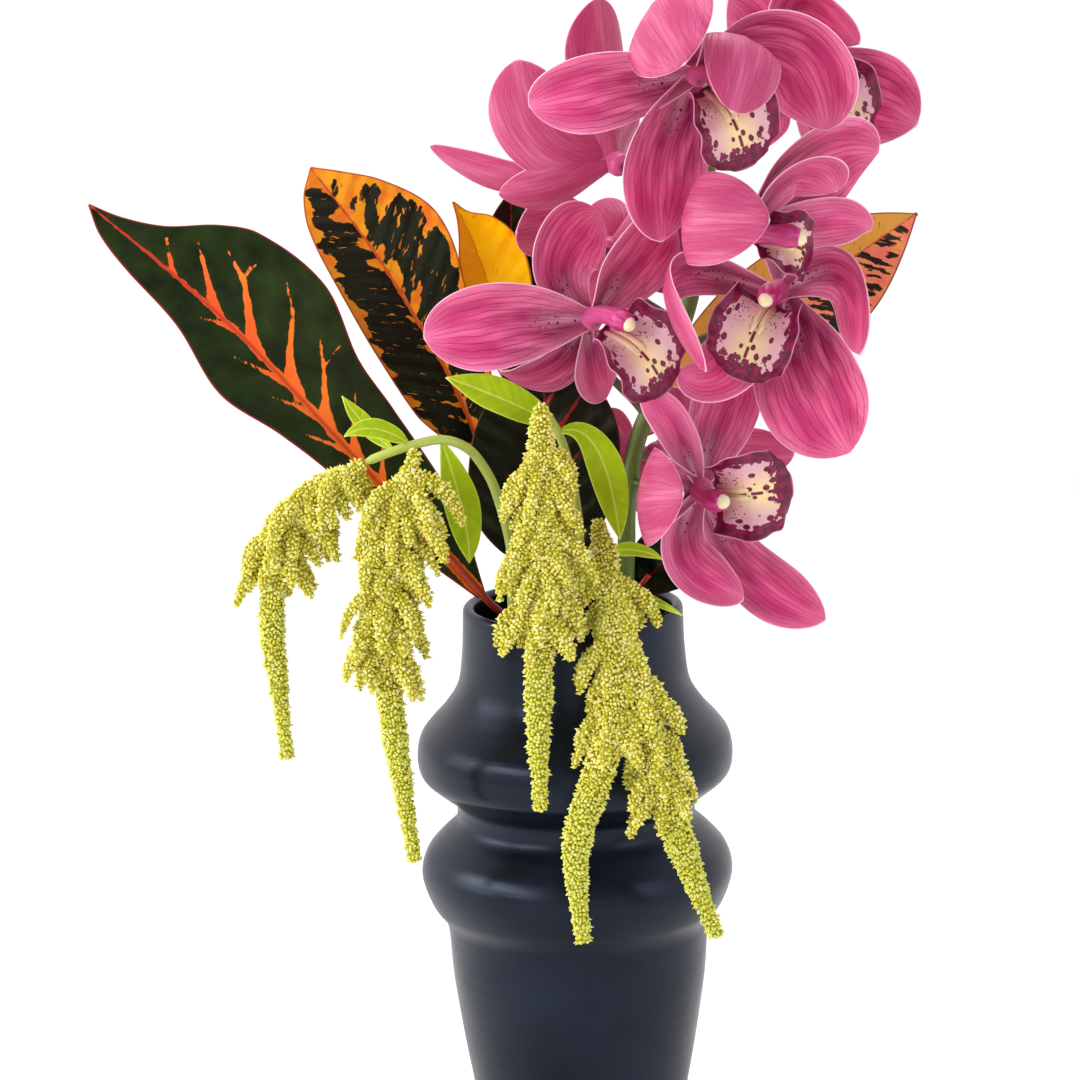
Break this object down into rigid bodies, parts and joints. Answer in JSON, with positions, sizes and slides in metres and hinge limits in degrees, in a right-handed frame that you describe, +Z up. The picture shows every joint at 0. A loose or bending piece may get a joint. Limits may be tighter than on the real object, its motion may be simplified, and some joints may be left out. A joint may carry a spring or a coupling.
{
  "type": "flower arrangement in a vase",
  "caption": "Asymmetrical arrangement of pink boat orchids, patterned croton leaves and hanging green amaranth tassels in a waisted black ceramic vase.",
  "frame": {"origin": "middle of the underside of the vase", "axes": "+Z up along the vase, -Y towards the viewer, +X to the viewer's right"},
  "size_m": [0.3193, 0.1516, 0.4657],
  "materials": {
    "ceramic": "matt blue-black ceramic with a soft sheen",
    "water": "clear still water",
    "petal": "satin deep pink petal with darker veins and a pale margin",
    "lip": "cream petal spotted with maroon, with a deep maroon border",
    "spike": "smooth green flower stem",
    "bark": "olive brown bark",
    "dark_leaf": "waxy dark green leaf with orange-red veins",
    "mottled_leaf": "waxy near-black leaf mottled orange",
    "yellow_leaf": "waxy yellow leaf",
    "salmon_leaf": "waxy salmon leaf with dark patches",
    "amaranth_green": "soft yellow-green stem and leaves",
    "florets": "tiny pale green beaded florets"
  },
  "bodies": {
    "root": {"vase": "ceramic", "water": "water", "orchid_spike": "spike", "croton_stem": "bark", "amaranth_stem_1": "amaranth_green", "amaranth_stem_2": "amaranth_green", "amaranth_stem_3": "amaranth_green", "orchid_flower_1": "petal", "orchid_lip_1": "lip", "orchid_flower_2": "petal", "orchid_lip_2": "lip", "orchid_flower_3": "petal", "orchid_lip_3": "lip", "orchid_flower_4": "petal", "orchid_lip_4": "lip", "orchid_flower_5": "petal", "orchid_lip_5": "lip", "orchid_flower_6": "petal", "orchid_lip_6": "lip", "orchid_flower_7": "petal", "orchid_lip_7": "lip", "orchid_flower_8": "petal", "orchid_lip_8": "lip", "orchid_flower_9": "petal", "orchid_lip_9": "lip", "croton_leaf_1": "dark_leaf", "croton_leaf_2": "mottled_leaf", "croton_leaf_3": "yellow_leaf", "croton_leaf_4": "dark_leaf", "croton_leaf_5": "salmon_leaf", "croton_leaf_6": "dark_leaf", "croton_leaf_7": "dark_leaf", "amaranth_tassel_1": "florets", "amaranth_tassel_2": "florets", "amaranth_tassel_3": "florets", "amaranth_tassel_4": "florets"}
  },
  "joints": []
}
